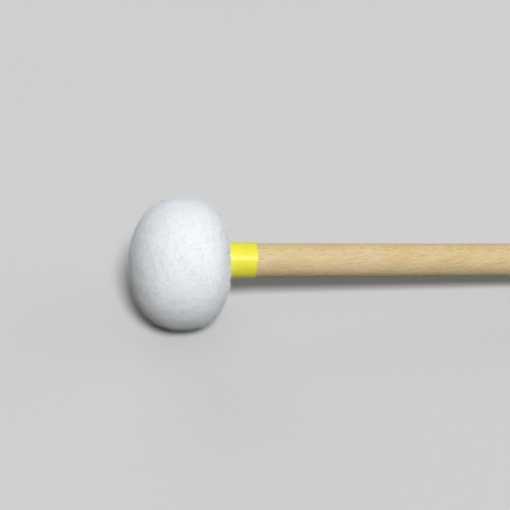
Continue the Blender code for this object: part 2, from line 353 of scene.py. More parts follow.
def spin_round(mesh, outline, steps, turns=1, climb=0.0, merge=False):
    """Spins vertices and edges about the X axis, and sorts the edges and faces by their vertices."""
    bmesh.ops.spin(
        mesh,
        geom=outline,
        cent=(0, 0, 0),
        axis=(1, 0, 0),
        dvec=(climb / steps, 0, 0),
        angle=2 * math.pi * turns,
        steps=steps,
        use_merge=merge,
    )
    mesh.verts.index_update()
    mesh.verts.ensure_lookup_table()
    for parts in (mesh.edges, mesh.faces):
        ranked = sorted(parts, key=lambda part: sorted(vert.index for vert in part.verts))
        rank = {part: place for place, part in enumerate(ranked)}
        parts.sort(key=rank.get)


def close_up(mesh):
    """Fills the open ends of a tube and turns its faces outwards."""
    bmesh.ops.holes_fill(mesh, edges=[e for e in mesh.edges if e.is_boundary], sides=0)
    bmesh.ops.recalc_face_normals(mesh, faces=mesh.faces)


def turned(outline, steps):
    """A bmesh of the outline's (x, r) points spun once round the X axis."""
    mesh = bmesh.new()
    verts = [mesh.verts.new((x, 0, radius)) for x, radius in outline]
    edges = [mesh.edges.new(pair) for pair in zip(verts, verts[1:])]
    spin_round(mesh, verts + edges, steps, merge=True)
    bmesh.ops.remove_doubles(mesh, verts=mesh.verts, dist=weld_distance)
    bmesh.ops.recalc_face_normals(mesh, faces=mesh.faces)
    return mesh


def to_object(mesh, name, place=Matrix.Identity(4)):
    """Moves a bmesh to its place, makes it a linked object with smooth shading, and frees it."""
    bmesh.ops.transform(mesh, matrix=place, verts=mesh.verts)
    data = bpy.data.meshes.new(name)
    mesh.to_mesh(data)
    mesh.free()
    data.shade_smooth()
    return show(name, data)


def keep(piece, finish, replaced=()):
    """Gives the piece its finish, ties it to the frame's root body and hides the solids it replaces."""
    piece.data.materials.append(finish)
    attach(piece, "root")
    if replaced:
        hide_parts(*replaced)
    print(f"{piece.name}: {len(piece.data.polygons)} faces")


# %% [markdown]
# ## The felt cover
#
# The cover is a thick piece of soft white felt, pulled over the firm felt inside and drawn in with a
# thread where the handle enters. It is one closed wall: the outside, the lip round the thread's
# groove, the short hem that stands round the tape, and the inside. All of that is one outline, so one
# spin makes it. Which part a vertex belongs to is told from its place later, because only the outside
# may swell and sag.

# %% Cover outline
lip_radius = 10.35 * mm
groove_wall_radius = 9.42 * mm
groove_floor_x = 14.0 * mm
hem_groove_radius = 8.32 * mm
hem_outer_radius = 8.42 * mm
hem_bore_radius = 7.05 * mm
hem_end_x = 16.9 * mm
cover_steps = 192
tip_ring_count, back_ring_count, inner_ring_count = 34, 26, 22

lip_turn = turn_at_radius(lip_radius, 0)
inner_turn = turn_at_radius(hem_bore_radius, cover_thickness)
outside_rings = head_outline(0, -math.pi / 2, 0, tip_ring_count)
outside_rings += head_outline(0, 0, lip_turn, back_ring_count)[1:]
lip_x = outside_rings[-1][0]
mouth_rings = [
    (lip_x + 0.05 * mm, lip_radius - 0.35 * mm),
    (lip_x - 0.15 * mm, groove_wall_radius + 0.15 * mm),
    (lip_x - 0.7 * mm, groove_wall_radius),
    (groove_floor_x + 0.5 * mm, groove_wall_radius),
    (groove_floor_x, groove_wall_radius - 0.3 * mm),
    (groove_floor_x, hem_groove_radius + 0.3 * mm),
    (groove_floor_x + 0.5 * mm, hem_groove_radius),
    (hem_end_x - 1.1 * mm, hem_groove_radius + 0.05 * mm),
    (hem_end_x - 0.6 * mm, hem_outer_radius),
    (hem_end_x - 0.15 * mm, hem_outer_radius - 0.15 * mm),
    (hem_end_x, hem_outer_radius - 0.6 * mm),
    (hem_end_x - 0.1 * mm, hem_bore_radius + 0.45 * mm),
    (hem_end_x - 0.5 * mm, hem_bore_radius),
    (hem_end_x - 2.5 * mm, hem_bore_radius),
]
inside_rings = head_outline(cover_thickness, inner_turn, -math.pi / 2, inner_ring_count)
cover = to_object(turned(outside_rings + mouth_rings + inside_rings, cover_steps), "felt_cover")
print("cover as it is turned:", len(cover.data.vertices), "vertices")

# %% [markdown]
# Many vertices are moved at once from here on, so these helpers work on all of them as numpy arrays.
# `cloud` is Blender's own noise, and `ease` is a smooth step.

# %% Helpers for many vertices
def read_points(piece):
    """The piece's vertices and their normals, as two arrays."""
    count = len(piece.data.vertices)
    points, normals = np.empty(count * 3), np.empty(count * 3)
    piece.data.vertices.foreach_get("co", points)
    piece.data.vertex_normals.foreach_get("vector", normals)
    return points.reshape(-1, 3), normals.reshape(-1, 3)


def write_points(piece, points):
    """Puts moved vertices back."""
    piece.data.vertices.foreach_set("co", points.ravel())
    piece.data.update()


def cloud(points, size, seed):
    """Blender's noise at every point, about -1 to 1, with features of this size."""
    shift = Vector((seed * 7.3, seed * 3.1, seed * 5.7))
    return np.array([noise.noise(Vector(p) / size + shift) for p in points])


def ease(values, low, high):
    """0 below low, 1 above high, and smooth between."""
    share = np.clip((values - low) / (high - low), 0, 1)
    return share * share * (3 - 2 * share)


def ring_radius(points):
    """How far each point is from the handle's axis."""
    return np.hypot(points[:, 1], points[:, 2])


def outside_share(points, fullness=2.4):
    """1 on the cover's outside and 0 on its inner wall, groove and hem."""
    reach = np.where(points[:, 0] < 0, tip_reach, back_reach)
    level = np.abs(points[:, 0] / reach) ** fullness + (ring_radius(points) / head_radius) ** fullness
    in_mouth = (points[:, 0] > groove_floor_x - 0.5 * mm) & (ring_radius(points) < lip_radius - 0.1 * mm)
    return ease(level, 0.80, 0.93) * ~in_mouth


# %% [markdown]
# ### Drawing the cover in
#
# On the real mallet the felt is wider at the mouth before it is tied, and the thread draws it in. The
# spare felt has nowhere to go and buckles into soft gathers. Cloth simulation gives exactly that, so
# the cover is simulated once as the thread is pulled. One shape key holds the open mouth and another
# the drawn one. The hem and the inner wall are pinned and follow the keys, and the outside of the
# back half is free. The solver is made for garments, so the trial is 50 times as large as the mallet.

# %% The trial's cloth
trial_scale = 50
trial_frames = 30
pull_frames = 15


def trial_cloth(trial):
    """Gives the trial cover the stiffness of thick felt and runs it. Returns where its vertices end up."""
    felt = trial.modifiers.new("felt", "CLOTH")
    felt.settings.quality = 5
    felt.settings.mass = 0.3
    felt.settings.tension_stiffness = 40
    felt.settings.compression_stiffness = 40
    felt.settings.shear_stiffness = 40
    felt.settings.bending_stiffness = 5
    felt.settings.use_pressure = True
    felt.settings.uniform_pressure_force = 4
    felt.settings.vertex_group_mass = "held"
    felt.settings.effector_weights.gravity = 0
    felt.point_cache.frame_start = 1
    felt.point_cache.frame_end = trial_frames
    for frame_number in range(1, trial_frames + 1):
        bpy.context.scene.frame_set(frame_number)
    settled = trial.evaluated_get(bpy.context.evaluated_depsgraph_get())
    places = np.empty(len(trial.data.vertices) * 3)
    settled.data.vertices.foreach_get("co", places)
    bpy.context.scene.frame_set(1)
    return places.reshape(-1, 3) / trial_scale


# %% [markdown]
# The trial cover starts with its mouth open: wider by `open_wider` at the hem, less and less outwards,
# and a little unevenly, as felt is. Of the result, only the movement along the normal is kept. Each
# ring's even swelling is taken out, because the outline is already right, the gathers are brushed
# flat away from the mouth, and all are capped.

# %% Draw the cover in
open_wider = 1.6 * mm
open_further = 1.0 * mm
pull_radius, pull_width = 19 * mm, 8.6 * mm
wall_pull_radius, wall_pull_width = 12 * mm, 5 * mm
uneven_start = 0.05 * mm
ring_bin = 0.2 * mm
brushed_from, brushed_to = 11.5 * mm, 17 * mm
gather_limit = 0.55 * mm


def trial_cover(piece, opened, start, held_vertices):
    """A large copy of the cover that goes from its open shape to its drawn one, with these vertices held."""
    trial = show("trial_cover", piece.data.copy())
    write_points(trial, opened * trial_scale)
    trial.shape_key_add(name="open")
    tied = trial.shape_key_add(name="drawn in")
    tied.data.foreach_set("co", (start * trial_scale).ravel())
    for frame_number, share in ((1, 0), (pull_frames, 1)):
        tied.value = share
        tied.keyframe_insert("value", frame=frame_number)
    trial.vertex_groups.new(name="held").add(held_vertices, 1.0, "REPLACE")
    return trial


def gathers(piece):
    """How far the felt buckles out along its normals when its mouth is drawn in."""
    drawn, normals = read_points(piece)
    outside = outside_share(drawn)
    radius = ring_radius(drawn)
    start = drawn + normals * (uneven_start * cloud(drawn, 2.2 * mm, 6) * outside)[:, None]
    pulled = np.clip((pull_radius - radius) / pull_width, 0, 1) * ease(drawn[:, 0], 6 * mm, 12 * mm)
    on_inner_wall = (outside < 0.5) & (drawn[:, 0] < groove_floor_x - 0.5 * mm)
    pulled[on_inner_wall] = np.clip((wall_pull_radius - radius[on_inner_wall]) / wall_pull_width, 0, 1)
    pulled *= drawn[:, 0] > 0
    opened = start * (1 + open_wider * pulled / np.maximum(radius, mm))[:, None]
    opened[:, 0] = start[:, 0] + open_further * pulled

    held_vertices = np.flatnonzero((outside < 0.5) | (drawn[:, 0] < 0)).tolist()
    trial = trial_cover(piece, opened, start, held_vertices)
    settled = trial_cloth(trial)
    trial_data = trial.data
    bpy.data.objects.remove(trial)
    bpy.data.meshes.remove(trial_data)

    free = outside * (drawn[:, 0] > 0)
    buckled = ((settled - drawn) * normals).sum(axis=1) * free
    bins = np.round(radius / ring_bin).astype(int)
    ring_mean = np.bincount(bins, buckled) / np.maximum(np.bincount(bins, free), 1)
    buckled -= ring_mean[bins] * free
    buckled *= 1 - ease(radius, brushed_from, brushed_to)
    lowest, highest = round(buckled.min() / mm, 2), round(buckled.max() / mm, 2)
    print("gathers go from", lowest, "to", highest, "mm before the cap")
    return gather_limit * np.tanh(buckled / gather_limit)


flat_points, flat_normals = read_points(cover)
write_points(cover, flat_points + flat_normals * gathers(cover)[:, None])

# %% [markdown]
# The mesh is then refined once, so that the felt's small unevenness can be real geometry.
# `subdivide_edges` keeps the outline, and the rings are close enough together that the flats between
# them don't show.

# %% Refine the cover
fine_mesh = bmesh.new()
fine_mesh.from_mesh(cover.data)
bmesh.ops.subdivide_edges(fine_mesh, edges=fine_mesh.edges[:], cuts=1, use_grid_fill=True, smooth=0.0)
fine_mesh.to_mesh(cover.data)
fine_mesh.free()
cover.data.shade_smooth()
print("cover refined:", len(cover.data.vertices), "vertices")

# %% [markdown]
# ### Working the felt
#
# Soft felt is never an exact ball. It has broad lumps a centimetre across, smaller ones where the
# wool was fulled unevenly, and folds in the hem under the thread. Each is a small move of every
# vertex along its normal, which is what a sculptor's brush would do. Then the whole cover hangs a
# little towards the front, as the picture shows it.

# %% Sculpt the cover
felt_lumps = (  # height and width in mm, seed
    (0.21, 13, 1),
    (0.11, 5, 2),
    (0.06, 2.2, 3),
    (0.035, 0.9, 7),
)
hem_fold_count = 23
hem_fold_depth = 0.3 * mm
felt_loft = 0.24 * mm
lean_forward = 1.35 * mm
lean_down = 0.2 * mm

points, normals = read_points(cover)
radius = ring_radius(points)
angle = np.arctan2(points[:, 2], points[:, 1])
is_outside = outside_share(points)
near_mouth = (1 - ease(radius, 10.5 * mm, 13 * mm)) * ease(points[:, 0], 8 * mm, 13 * mm)
in_hem = ease(radius, hem_bore_radius + 0.4 * mm, hem_outer_radius - 0.2 * mm)
in_hem *= (1 - ease(radius, 9.6 * mm, 11.5 * mm)) * ease(points[:, 0], 11 * mm, 13 * mm)

lumps = sum(height * mm * cloud(points, width * mm, seed) for height, width, seed in felt_lumps)
wander = cloud(np.column_stack([np.cos(angle), np.sin(angle), radius * 40]), 0.7, 4)
folds = np.abs(np.sin(hem_fold_count / 2 * angle + 2.2 * wander)) ** 0.7 - 0.8
fuller = np.clip(2 * np.abs(points[:, 0]) * radius / (tip_reach * head_radius), 0, 1)
loft = felt_loft * (1 - 0.4 * fuller) * (1 - near_mouth)
moves = (lumps + loft) * is_outside + hem_fold_depth * folds * in_hem
points = points + normals * moves[:, None]
points = points @ np.array(lie_down.to_3x3()).T + np.array(lie_down.translation)

tip_leans_too = 9 * mm * (points[:, 0] < head_centre.x)
lean = is_outside * (1 - near_mouth) * ease(radius + tip_leans_too, 9 * mm, 16 * mm)
points[:, 1] -= lean_forward * lean
points[:, 2] -= lean_down * lean
write_points(cover, points)
print("lumps go from", round(lumps.min() / mm, 2), "to", round(lumps.max() / mm, 2), "mm")

# %% [markdown]
# The table pushes the felt flat where it rests. Near the floor, heights are eased towards zero
# instead of being cut off, so the flat has the soft rim of something that yields.

# %% Lay the cover on the table
yield_height = 0.3 * mm
low_side = (is_outside > 0.5) & (points[:, 2] < 10 * yield_height)
low_heights = points[low_side, 2]
points[low_side, 2] = yield_height * np.log1p(np.exp(low_heights / yield_height))
points[:, 2] -= points[:, 2].min()
write_points(cover, points)
print("cover now:", [round(v / mm, 2) for v in points.min(0)], [round(v / mm, 2) for v in points.max(0)])

# %% [markdown]
# ### The felt's finish
#
# Up close, white felt is a mat of fine curled fibres. Two layers of warped noise, of which only the
# thin lines where it crosses its middle are kept, look like such fibres at two sizes. They drive both
# the colour, with painted shade that makes it a little darker between the fibres, and a shallow bump.
# Soft speckles darken the colour a little more in places. Broad, faint clouds make some places warmer
# and some cooler, as in raw wool. There is almost no gloss, and a trace of sheen.

# %% Felt finish
def fibre_lines(made, place, size, width, warp_size, warp):
    """Thin curled lines: 1 on a line and 0 off it. Sizes are in metres."""
    bend = add(made, "TexNoise", {"Vector": place, "Scale": 1 / warp_size, "Detail": 2.0}).outputs["Color"]
    bend = add(made, "VectorMath", {0: bend, 1: (0.5, 0.5, 0.5)}, operation="SUBTRACT").outputs[0]
    bend = add(made, "VectorMath", {0: bend, "Scale": warp}, operation="SCALE").outputs[0]
    bent = add(made, "VectorMath", {0: place, 1: bend}, operation="ADD").outputs[0]
    value = cloudy(made, bent, size, detail=1.0)
    off_line = sums(made, "ABSOLUTE", sums(made, "SUBTRACT", value, 0.5))
    return spread(made, off_line, 0.0, width, 1.0, 0.0)


white_felt, felt_place = mallet_finish("soft white felt")
coarse_fibres = fibre_lines(white_felt, felt_place, 1.1 * mm, 0.045, 3 * mm, 3 * mm)
fine_fibres = fibre_lines(white_felt, felt_place, 0.5 * mm, 0.06, 1.2 * mm, 1.4 * mm)
fine_share = sums(white_felt, "MULTIPLY", fine_fibres, 0.4)
felt_mat = sums(white_felt, "MULTIPLY_ADD", coarse_fibres, 0.6, fine_share)
felt_cloud = cloudy(white_felt, felt_place, 9 * mm, detail=3.0)
felt_speckle = cloudy(white_felt, felt_place, 1.6 * mm)
cool_white = (0.90, 0.92, 0.97, 1)
warm_white = (0.88, 0.89, 0.90, 1)
# The grey below is where the painted shade between the fibres, and the darker speckles, lead.
shade_and_speckle_grey = (0.70, 0.71, 0.69, 1)
painted_shade_between_fibres, speckle_darkening = 0.16, 0.17
felt_colour = tint(white_felt, spread(white_felt, felt_cloud, 0.35, 0.65), cool_white, warm_white)
# Painted shade: the colour goes darker where the fibre lines thin out, between the fibres.
fibre_gap_shade = spread(white_felt, felt_mat, 0.0, 0.7, 1.0, 0.0)
painted_shade_and_speckles = sums(white_felt, "MULTIPLY", fibre_gap_shade, painted_shade_between_fibres)
felt_spots = spread(white_felt, felt_speckle, 0.5, 0.75)
painted_shade_and_speckles = sums(white_felt, "MULTIPLY_ADD", felt_spots, speckle_darkening, painted_shade_and_speckles)
felt_colour = tint(white_felt, painted_shade_and_speckles, felt_colour, shade_and_speckle_grey)
felt_bump = relief(white_felt, felt_speckle, 0.10 * mm, 0.6)
felt_bump = relief(white_felt, felt_mat, 0.05 * mm, 0.7, felt_bump)
dress(white_felt, Base_Color=felt_colour, Normal=felt_bump)
dress(white_felt, Roughness=0.95, Specular_IOR_Level=0.12, Sheen_Weight=0.05)
keep(cover, white_felt, ["cover"])

# %% [markdown]
# ## The nap
#
# What makes felt look soft is its edge: loose fibres stand off the surface and blur its outline. A
# bump can't do that, because an outline is geometry. So a few bent, tapered fibres are modelled once,
# each with fewer than twenty faces, and thousands of copies are scattered over the cover, each turned
# and leaned its own way. numpy places the copies, and fixed seeds make them the same on every run.

# %% One fibre, in a few shapes
fibre_taper = 0.85
shapes_of_each = 8


def one_fibre(length, radius, sections, seed):
    """A thin three-sided tube that curls as it rises, closed at its root and drawn to a point at its end."""
    chance = random.Random(seed)
    mesh = bmesh.new()
    bmesh.ops.create_circle(mesh, cap_ends=True, segments=3, radius=radius)
    face = mesh.faces[:][0]
    heading = Matrix.Identity(3)
    for section in range(sections):
        curl = chance.uniform(0.6, 3.0) / sections
        bend = Matrix.Rotation(curl, 3, Vector((1, chance.uniform(-0.6, 0.6), 0)))
        heading = heading @ bend
        face = bmesh.ops.extrude_discrete_faces(mesh, faces=[face])["faces"][0]
        end = face.calc_center_median() + heading @ Vector((0, 0, length / sections))
        if section == sections - 1:
            bmesh.ops.pointmerge(mesh, verts=face.verts[:], merge_co=end)
            break
        bmesh.ops.translate(mesh, verts=face.verts[:], vec=end - face.calc_center_median())
        bmesh.ops.scale(mesh, verts=face.verts[:], vec=(fibre_taper,) * 3, space=Matrix.Translation(-end))
        bmesh.ops.rotate(mesh, verts=face.verts[:], cent=end, matrix=bend)
    close_up(mesh)
    bmesh.ops.triangulate(mesh, faces=mesh.faces)
    mesh.verts.index_update()
    corners = np.array([v.co for v in mesh.verts])
    faces = np.array([[v.index for v in f.verts] for f in mesh.faces])
    mesh.free()
    return corners, faces


def fibres(length, radius, sections, first_seed):
    """A few shapes of one kind of fibre."""
    return [one_fibre(length, radius, sections, first_seed + extra) for extra in range(shapes_of_each)]


mat_fibres = fibres(1.25 * mm, 0.017 * mm, 3, 0)
down_fibres = fibres(0.85 * mm, 0.017 * mm, 2, 10)
loose_fibres = fibres(1.8 * mm, 0.020 * mm, 3, 20)
for kind, shapes in (("mat", mat_fibres), ("down", down_fibres), ("loose", loose_fibres)):
    print(f"faces in a fibre of the {kind}: {len(shapes[0][1])}")

# %% [markdown]
# Places for the fibres are picked at random over the outside of the cover, in proportion to each
# face's area. Three kinds are mixed. The mat lies nearly flat, and its bend is turned so that it curls
# within the surface, as fulled wool does. The down is short and stands in small tufts. The loose
# fibres are the longest and lean every way, and they are what blurs the outline. The tip, which has
# met the drum most, carries more of those. The mouth has none, because the felt is drawn tight there.

# %% Places for the fibres
root_depth = 0.03 * mm


def cover_surface():
    """Corners, normals and areas of the triangles on the outside of the cover."""
    data = cover.data
    data.calc_loop_triangles()
    corners = np.empty(len(data.loop_triangles) * 3, int)
    data.loop_triangles.foreach_get("vertices", corners)
    corners = corners.reshape(-1, 3)
    on_outside = ((is_outside > 0.6) & (near_mouth < 0.9))[corners].all(axis=1)
    corners = corners[on_outside]
    places = points[corners]
    across = np.cross(places[:, 1] - places[:, 0], places[:, 2] - places[:, 0])
    size = np.linalg.norm(across, axis=1)
    return places, across / size[:, None], size / 2


def scatter(count, seed, lean_range, scale_range, curl_roll, places, across, area, weight):
    """Roots, turned and scaled axes, and kinds for this many fibres, with more where the weight is high."""
    draw = np.random.default_rng(seed)
    share = area if weight is None else area * weight
    chosen = draw.choice(len(area), size=count, p=share / share.sum())
    u, v = draw.random(count), draw.random(count)
    flip = u + v > 1
    u[flip], v[flip] = 1 - u[flip], 1 - v[flip]
    first, second, third = places[chosen].transpose(1, 0, 2)
    roots = first + u[:, None] * (second - first) + v[:, None] * (third - first)
    up = across[chosen]
    side = np.cross(up, draw.normal(size=(count, 3)))
    side /= np.linalg.norm(side, axis=1)[:, None]
    lean = np.radians(draw.uniform(*lean_range, size=count))[:, None]
    ahead = np.cos(lean) * up + np.sin(lean) * side
    flat_curl = np.sin(lean) * up - np.cos(lean) * side
    roll = draw.normal(0, curl_roll, size=count)[:, None]
    bend_axis = draw.choice([-1, 1], size=count)[:, None] * (
        np.cos(roll) * flat_curl + np.sin(roll) * np.cross(ahead, flat_curl)
    )
    turns = np.stack([bend_axis, np.cross(ahead, bend_axis), ahead], axis=2)
    sizes = draw.uniform(*scale_range, size=count)
    return roots - up * root_depth, turns * sizes[:, None, None], draw.integers(shapes_of_each, size=count)


# %% [markdown]
# All fibres of one mesh are placed in a few steps: every copy of a shape is turned and moved at once,
# and its faces are the shape's own, counted on. What would reach through the table is lifted onto it.

# %% Copies of the fibres
lowest_fibre = 0.02 * mm


def make_nap(name, shapes, roots, turns, kinds, finish):
    """Makes and keeps one mesh of many copies of these fibre shapes."""
    all_corners, all_faces, used = [], [], 0
    for kind, (corners, faces) in enumerate(shapes):
        mine = kinds == kind
        placed = np.einsum("nij,vj->nvi", turns[mine], corners) + roots[mine][:, None]
        first = used + np.arange(mine.sum())[:, None, None] * len(corners)
        all_corners.append(placed.reshape(-1, 3))
        all_faces.append((faces[None] + first).reshape(-1, 3))
        used += mine.sum() * len(corners)
    corners = np.concatenate(all_corners)
    corners[:, 2] = np.maximum(corners[:, 2], lowest_fibre)
    data = bpy.data.meshes.new(name)
    data.from_pydata(corners, [], np.concatenate(all_faces).tolist())
    data.shade_smooth()
    keep(show(name, data), finish)


# %% [markdown]
# The fibres take the felt's colours, in soft clouds, without its gloss or bump. Each row of
# `nap_kinds` is one kind of fibre, and each mesh of it stays under 200,000 triangles.

# %% The nap
wool, nap_place = mallet_finish("loose wool fibres")
nap_cloud = cloudy(wool, nap_place, 2.5 * mm)
nap_colour = tint(wool, nap_cloud, (0.91, 0.92, 0.96, 1), (0.84, 0.85, 0.86, 1))
dress(wool, Base_Color=nap_colour, Roughness=0.9, Specular_IOR_Level=0.15)

cover_faces = cover_surface()
tuft_place = lie_down @ Vector((-tip_reach, -2 * mm, 5 * mm))
tuft_width = 5 * mm
face_middles = cover_faces[0].mean(axis=1)
from_tuft = np.linalg.norm(face_middles - np.array(tuft_place), axis=1)
more_at_tuft = 1 + 4 * np.exp(-((from_tuft / tuft_width) ** 2))
in_tufts = np.clip(0.55 + 1.5 * cloud(face_middles, 2.4 * mm, 8), 0.06, None)
nap_kinds = (  # name, shapes, meshes, fibres in each, first seed, lean, sizes, roll, where there are more
    ("felt_mat", mat_fibres, 2, 11500, 40, (76, 90), (0.6, 1.3), 0.25, None),
    ("felt_down", down_fibres, 2, 18500, 50, (25, 78), (0.4, 1.1), 1.0, in_tufts),
    ("loose_nap", loose_fibres, 3, 11500, 60, (25, 80), (0.4, 1.0), 0.9, more_at_tuft),
)
for name, shapes, meshes, count, first_seed, lean_range, scale_range, roll, weight in nap_kinds:
    for index in range(meshes):
        made = scatter(count, first_seed + index, lean_range, scale_range, roll, *cover_faces, weight)
        make_nap(f"{name}_{index + 1}", shapes, *made, wool)

# %% [markdown]
# ## The thread that closes the cover
#
# A waxed thread, wound twice round the hem, pulls the felt in against the handle. bmesh's spin can
# climb as it turns, which makes the coil in one go. The thread is laid up from three strands: its
# outline has three lobes, and each section is turned a little further than the last.

# %% Gather thread
thread_radius = 0.4 * mm
thread_coil_radius = 8.85 * mm
thread_first_x = 14.7 * mm
thread_pitch = 0.9 * mm
thread_turns = 2
thread_steps = 220
thread_lay = 2.6 * mm
thread_sides = 18
lobe_depth = 0.16


def wound_thread():
    """Two turns of three-strand thread, closed at both ends."""
    mesh = bmesh.new()
    bmesh.ops.create_circle(mesh, cap_ends=False, segments=thread_sides, radius=thread_radius)
    for vert in mesh.verts:
        vert.co *= 1 - lobe_depth * abs(math.cos(1.5 * math.atan2(vert.co.y, vert.co.x))) ** 3
    bmesh.ops.rotate(mesh, verts=mesh.verts, cent=(0, 0, 0), matrix=Matrix.Rotation(math.pi / 2, 3, "X"))
    bmesh.ops.translate(mesh, verts=mesh.verts, vec=(thread_first_x, 0, thread_coil_radius))
    bmesh.ops.rotate(mesh, verts=mesh.verts, cent=(0, 0, 0), matrix=Matrix.Rotation(math.pi, 3, "X"))
    section = mesh.verts[:]
    climb = thread_pitch * thread_turns
    spin_round(mesh, section + mesh.edges[:], thread_steps, thread_turns, climb)
    step_length = 2 * math.pi * thread_coil_radius * thread_turns / thread_steps
    for step in range(thread_steps + 1):
        ring = mesh.verts[step * len(section) : (step + 1) * len(section)]
        centre = sum((v.co for v in ring), Vector()) / len(ring)
        run = Vector((1, 0, 0)).cross(Vector((0, centre.y, centre.z))).normalized()
        twist = Matrix.Rotation(2 * math.pi * step * step_length / thread_lay, 3, run)
        bmesh.ops.rotate(mesh, verts=ring, cent=centre, matrix=twist)
    close_up(mesh)
    return mesh


thread = to_object(wound_thread(), "waxed_thread", lie_down)
wax, thread_place = mallet_finish("waxed thread")
thread_fuzz = cloudy(wax, thread_place, 0.4 * mm, detail=3.0)
thread_colour = tint(wax, thread_fuzz, (0.84, 0.82, 0.76, 1), (0.66, 0.63, 0.55, 1))
thread_bump = relief(wax, thread_fuzz, 0.03 * mm, 0.6)
dress(wax, Base_Color=thread_colour, Normal=thread_bump, Roughness=0.5, Specular_IOR_Level=0.4)
keep(thread, wax, ["gather_thread"])

# %% [markdown]
# ## The yellow band
#
# The band is a strip of vinyl tape, wound a little over twice round the handle. Its free end lies on
# the side that faces the camera, and its last lap sits slightly further from the head than the one
# below it, so a small corner stands out at the seam. A strip is spun through that whole angle, and
# each section is then lifted by the layers that lie under it. Where the tape crosses its own start it
# has to climb, and the ridge is left in, because it catches the light on real tape as well.

# %% Wound tape
handle_radius = 6.35 * mm
tape_start_x = 14.4 * mm
tape_end_x = 26.8 * mm
tape_layer = 0.15 * mm
tape_inside = handle_radius + 0.06 * mm
tape_laps = 2.22
tape_seam_angle = math.radians(144)
tape_steps = 330
climb_laps = 0.012
last_lap_shift, shift_begins, shift_ends = 0.36 * mm, 1.55, 2.0
corner_shift, corner_laps = 0.16 * mm, 0.1
round_off = 0.03 * mm


def wound_tape():
    """The strip as it lies: thickness, climbs and the shifted last lap."""
    mesh = bmesh.new()
    corners = [
        (tape_start_x + round_off, 0.0),
        (tape_start_x, round_off),
        (tape_start_x, tape_layer - 2 * round_off),
        (tape_start_x + round_off, tape_layer - round_off),
        (tape_end_x - round_off, tape_layer - round_off),
        (tape_end_x, tape_layer - 2 * round_off),
        (tape_end_x, round_off),
        (tape_end_x - round_off, 0.0),
    ]
    first_angle = tape_seam_angle - 2 * math.pi * tape_laps
    side = Vector((0, math.cos(first_angle), math.sin(first_angle)))
    section = [mesh.verts.new(Vector((x, 0, 0)) + side * (tape_inside + lift)) for x, lift in corners]
    edges = [mesh.edges.new(pair) for pair in zip(section, section[1:] + section[:1])]
    spin_round(mesh, section + edges, tape_steps, tape_laps)
    for step in range(tape_steps + 1):
        laps = tape_laps * step / tape_steps
        layers = sum(float(ease(laps, lap - climb_laps, lap)) for lap in (1, 2))
        shift = last_lap_shift * float(ease(laps, shift_begins, shift_ends))
        shift += corner_shift * float(ease(laps, tape_laps - corner_laps, tape_laps))
        for vert in mesh.verts[step * len(section) : (step + 1) * len(section)]:
            out = Vector((0, vert.co.y, vert.co.z)).normalized()
            vert.co += out * tape_layer * layers
            vert.co.x += shift if vert.co.x > (tape_start_x + tape_end_x) / 2 else 0
    close_up(mesh)
    return mesh


tape = to_object(wound_tape(), "yellow_tape_band", lie_down)
tape.data.set_sharp_from_angle(angle=sharp_from)
print("tape:", tape_laps, "laps of", round((tape_end_x - tape_start_x) / mm, 1), "mm")

# %% [markdown]
# Vinyl tape is smooth and satin, and a shade lighter where it is stretched. It picks up a little dirt
# at its edge, where hands push it, and the glue catches dust there. A thin coat adds a little gloss.

# %% Tape finish
vinyl, tape_place = mallet_finish("yellow vinyl tape")
tape_along = add(vinyl, "SeparateXYZ", {0: tape_place}).outputs[0]
tape_stretch = cloudy(vinyl, tape_place, 5 * mm)
tape_grain = cloudy(vinyl, tape_place, 0.35 * mm)
clean_yellow = (0.80, 0.755, 0.046, 1)
deep_yellow = (0.755, 0.70, 0.038, 1)
soiled_yellow = (0.50, 0.44, 0.06, 1)
soil_from, soil_full = tape_end_x - 0.6 * mm, tape_end_x + 0.5 * mm
tape_colour = tint(vinyl, spread(vinyl, tape_stretch, 0.35, 0.65), clean_yellow, deep_yellow)
edge_soil = spread(vinyl, tape_along, soil_from, soil_full)
edge_soil = sums(vinyl, "MULTIPLY", edge_soil, spread(vinyl, tape_stretch, 0.3, 0.7, 0.1, 0.6))
tape_colour = tint(vinyl, edge_soil, tape_colour, soiled_yellow)
tape_rough = spread(vinyl, tape_grain, 0.3, 0.7, 0.44, 0.54)
tape_bump = relief(vinyl, tape_grain, 0.012 * mm, 0.5)
dress(vinyl, Base_Color=tape_colour, Roughness=tape_rough, Normal=tape_bump)
dress(vinyl, Coat_Weight=0.05, Coat_Roughness=0.4, Specular_IOR_Level=0.38)
keep(tape, vinyl, ["band"])

# %% [markdown]
# ## The handle
#
# The handle is one turned stick of pale maple. Inside the head it steps down to a tenon, and its butt
# is cut flat with a rounded edge. The solid's own facets would show as stripes along so smooth a
# cylinder, so the handle is turned again here, with more than three times as many sides and from the
# same sizes.

# %% Turn the handle
shoulder_x = 5.8 * mm
tenon_end_x = -3.2 * mm
tenon_radius = 4.0 * mm
pilot_end_x = 8.7 * mm
pilot_radius = 2.05 * mm
butt_edge = 2.0 * mm
butt_middle = 2.2 * mm
chamfer = 0.6 * mm
handle_ring_gap = 12 * mm
handle_sides = 144

rounding = [
    (butt_reach - butt_edge * (1 - math.sin(turn)), handle_radius - butt_edge * (1 - math.cos(turn)))
    for turn in (math.radians(15 * step) for step in range(7))
]
straight_rings = round((butt_reach - shoulder_x) / handle_ring_gap)
straight_start = shoulder_x + chamfer
straight_step = (butt_reach - butt_edge - straight_start) / straight_rings
straight = [(straight_start + straight_step * ring, handle_radius) for ring in range(straight_rings)]
handle_outline = [
    (pilot_end_x + pilot_radius / 2, 0.0),
    (pilot_end_x, pilot_radius),
    (tenon_end_x, pilot_radius),
    (tenon_end_x, tenon_radius - chamfer),
    (tenon_end_x + chamfer, tenon_radius),
    (shoulder_x, tenon_radius),
    (shoulder_x, handle_radius - chamfer),
    *straight,
    *rounding,
    (butt_reach, butt_middle),
    (butt_reach, 0.0),
]
handle = to_object(turned(handle_outline, handle_sides), "maple_handle", lie_down)
handle.data.set_sharp_from_angle(angle=sharp_from)
print("handle:", len(handle_outline), "rings of", handle_sides, "sides")

